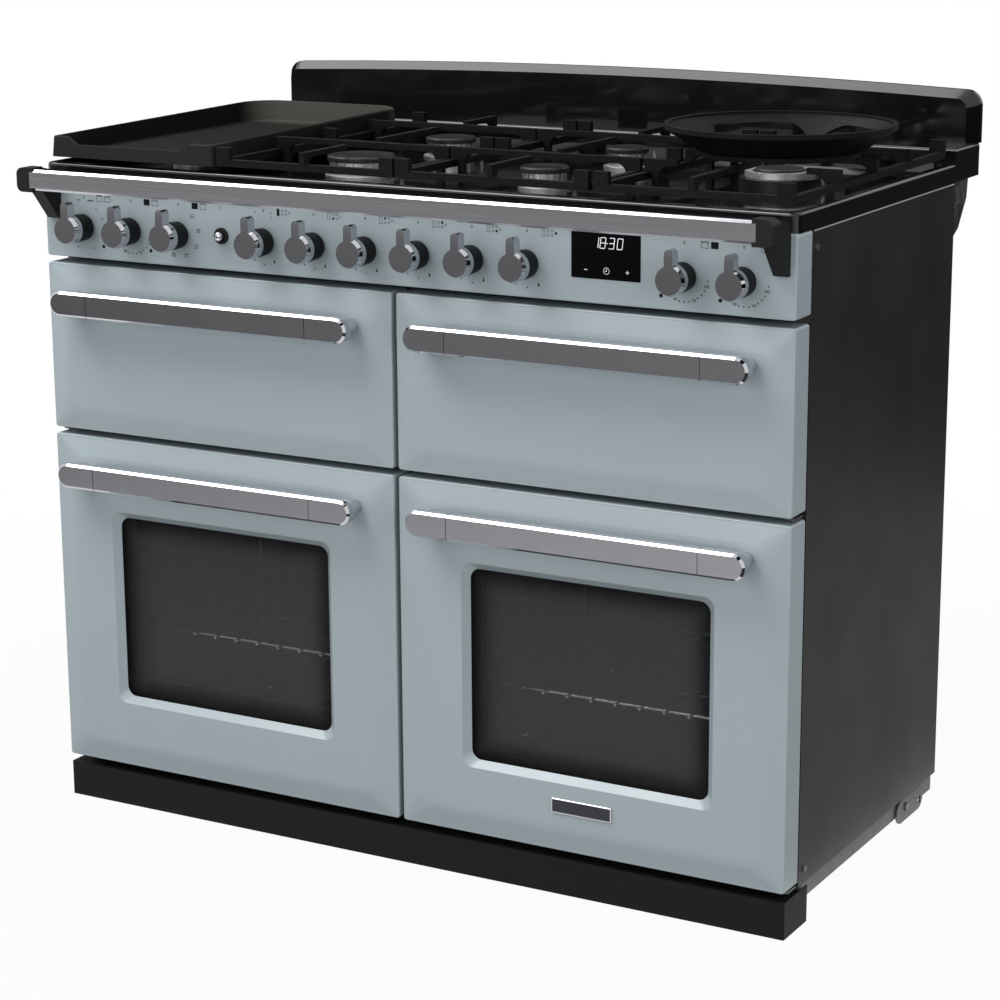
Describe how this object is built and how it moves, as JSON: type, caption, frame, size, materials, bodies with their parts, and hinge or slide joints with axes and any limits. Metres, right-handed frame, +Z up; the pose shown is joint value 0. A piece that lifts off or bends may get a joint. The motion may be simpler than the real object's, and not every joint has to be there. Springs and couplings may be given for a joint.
{
  "type": "range cooker",
  "caption": "Free-standing dual fuel range cooker with gas hob, griddle, wok ring, electric ovens with side-hung doors, drop-down grill, storage drawer and front handrail.",
  "frame": {"origin": "on the floor, under the middle of the overall footprint", "axes": "+Z up, -Y towards the front where the doors are, +X to the right seen from the front"},
  "size_m": [1.099, 0.67, 0.992],
  "materials": {
    "door_paint": "satin gloss pale blue-grey enamel",
    "side_paint": "satin charcoal",
    "black_paint": "matte black",
    "hob_enamel": "gloss black enamel",
    "oven_enamel": "speckled dark enamel",
    "sheet_steel": "plain zinc-coated sheet",
    "bright_steel": "bright plated",
    "rail_steel": "brushed",
    "wire": "bright wire",
    "pane": "dark tinted",
    "clock_glass": "gloss black",
    "dark_plastic": "fine matte",
    "cast": "rough matte black",
    "alloy": "bright alloy",
    "brass": "plain",
    "wheel": "dull"
  },
  "bodies": {
    "cabinet": {"base_frame": "sheet_steel", "left_side_panel": "side_paint", "right_side_panel": "side_paint", "rear_panel": "sheet_steel", "plinth": "black_paint", "front_frame": "black_paint", "left_oven_cavity": "oven_enamel", "right_oven_cavity": "oven_enamel", "grill_cavity": "oven_enamel", "grill_pan": "hob_enamel", "drawer_runners": "sheet_steel", "door_hinges": "sheet_steel", "control_panel": "door_paint", "clock_display": "clock_glass", "gas_rail": "brass", "oven_switches": "dark_plastic", "handrail": "rail_steel", "handrail_brackets": "dark_plastic", "hob_tray": "hob_enamel", "splashback": "hob_enamel", "burner_bodies": "alloy", "burner_caps": "hob_enamel", "pan_supports": "cast", "shelf_side_racks": "wire", "oven_shelves": "wire", "fan_baffles": "oven_enamel", "heating_elements": "sheet_steel", "fan_motors": "sheet_steel", "levelling_feet": "dark_plastic", "fasteners": "sheet_steel"},
    "left_oven_door": {"left_door_panel": "door_paint", "left_door_liner": "oven_enamel", "left_door_glazing": "pane", "left_door_handle": "bright_steel"},
    "right_oven_door": {"right_door_panel": "door_paint", "right_door_liner": "oven_enamel", "right_door_glazing": "pane", "right_door_handle": "bright_steel"},
    "grill_flap": {"grill_door": "door_paint", "grill_door_handle": "bright_steel"},
    "drawer": {"drawer_front": "door_paint", "drawer_box": "sheet_steel", "drawer_handle": "bright_steel"},
    "light_button": {"light_button": "bright_steel"},
    "left_fan": {"left_fan": "sheet_steel"},
    "right_fan": {"right_fan": "sheet_steel"},
    "rear_rollers": {"rear_rollers": "wheel"},
    "griddle": {"griddle": "cast"},
    "wok_ring": {"wok_ring": "cast"},
    "knob_01": {"knob_01": "bright_steel"},
    "knob_02": {"knob_02": "bright_steel"},
    "knob_03": {"knob_03": "bright_steel"},
    "knob_04": {"knob_04": "bright_steel"},
    "knob_05": {"knob_05": "bright_steel"},
    "knob_06": {"knob_06": "bright_steel"},
    "knob_07": {"knob_07": "bright_steel"},
    "knob_08": {"knob_08": "bright_steel"},
    "knob_09": {"knob_09": "bright_steel"},
    "knob_10": {"knob_10": "bright_steel"},
    "knob_11": {"knob_11": "bright_steel"}
  },
  "joints": [
    {"name": "left_oven_door_hinge", "type": "hinge", "parent": "cabinet", "child": "left_oven_door", "pos_m": [-0.538, -0.251, 0.29], "axis": [0, 0, -1], "range_deg": [0, 110]},
    {"name": "right_oven_door_hinge", "type": "hinge", "parent": "cabinet", "child": "right_oven_door", "pos_m": [0.538, -0.251, 0.29], "axis": [0, 0, 1], "range_deg": [0, 110]},
    {"name": "grill_flap_hinge", "type": "hinge", "parent": "cabinet", "child": "grill_flap", "pos_m": [-0.2742, -0.267, 0.539], "axis": [1, 0, 0], "range_deg": [0, 90]},
    {"name": "drawer_slide", "type": "slide", "parent": "cabinet", "child": "drawer", "axis": [0, -1, 0], "range_m": [0, 0.33]},
    {"name": "light_button_press", "type": "slide", "parent": "cabinet", "child": "light_button", "axis": [0, 1, 0], "range_m": [0, 0.0025], "stiffness_N_per_m": 400, "springref_m": -0.001},
    {"name": "left_fan_spin", "type": "hinge", "parent": "cabinet", "child": "left_fan", "pos_m": [-0.275, 0.19, 0.2975], "axis": [0, 1, 0], "continuous": true},
    {"name": "right_fan_spin", "type": "hinge", "parent": "cabinet", "child": "right_fan", "pos_m": [0.275, 0.19, 0.2975], "axis": [0, 1, 0], "continuous": true},
    {"name": "rear_roller_spin", "type": "hinge", "parent": "cabinet", "child": "rear_rollers", "pos_m": [0, 0.195, 0.025], "axis": [1, 0, 0], "continuous": true},
    {"name": "griddle_lift", "type": "slide", "parent": "cabinet", "child": "griddle", "axis": [0, 0, 1], "range_m": [0, 0.12]},
    {"name": "wok_ring_lift", "type": "slide", "parent": "cabinet", "child": "wok_ring", "axis": [0, 0, 1], "range_m": [0, 0.12]},
    {"name": "knob_01_turn", "type": "hinge", "parent": "cabinet", "child": "knob_01", "pos_m": [-0.4793, -0.28, 0.8105], "axis": [0, 1, 0], "range_deg": [0, 270]},
    {"name": "knob_02_turn", "type": "hinge", "parent": "cabinet", "child": "knob_02", "pos_m": [-0.4024, -0.28, 0.8105], "axis": [0, 1, 0], "range_deg": [0, 270]},
    {"name": "knob_03_turn", "type": "hinge", "parent": "cabinet", "child": "knob_03", "pos_m": [-0.3255, -0.28, 0.8105], "axis": [0, 1, 0], "range_deg": [0, 270]},
    {"name": "knob_04_turn", "type": "hinge", "parent": "cabinet", "child": "knob_04", "pos_m": [-0.19225, -0.28, 0.8105], "axis": [0, -1, 0], "range_deg": [0, 210]},
    {"name": "knob_05_turn", "type": "hinge", "parent": "cabinet", "child": "knob_05", "pos_m": [-0.11535, -0.28, 0.8105], "axis": [0, -1, 0], "range_deg": [0, 210]},
    {"name": "knob_06_turn", "type": "hinge", "parent": "cabinet", "child": "knob_06", "pos_m": [-0.03845, -0.28, 0.8105], "axis": [0, -1, 0], "range_deg": [0, 210]},
    {"name": "knob_07_turn", "type": "hinge", "parent": "cabinet", "child": "knob_07", "pos_m": [0.03845, -0.28, 0.8105], "axis": [0, -1, 0], "range_deg": [0, 210]},
    {"name": "knob_08_turn", "type": "hinge", "parent": "cabinet", "child": "knob_08", "pos_m": [0.11535, -0.28, 0.8105], "axis": [0, -1, 0], "range_deg": [0, 210]},
    {"name": "knob_09_turn", "type": "hinge", "parent": "cabinet", "child": "knob_09", "pos_m": [0.19225, -0.28, 0.8105], "axis": [0, -1, 0], "range_deg": [0, 210]},
    {"name": "knob_10_turn", "type": "hinge", "parent": "cabinet", "child": "knob_10", "pos_m": [0.4024, -0.28, 0.8105], "axis": [0, 1, 0], "range_deg": [0, 270]},
    {"name": "knob_11_turn", "type": "hinge", "parent": "cabinet", "child": "knob_11", "pos_m": [0.4793, -0.28, 0.8105], "axis": [0, 1, 0], "range_deg": [0, 270]}
  ]
}
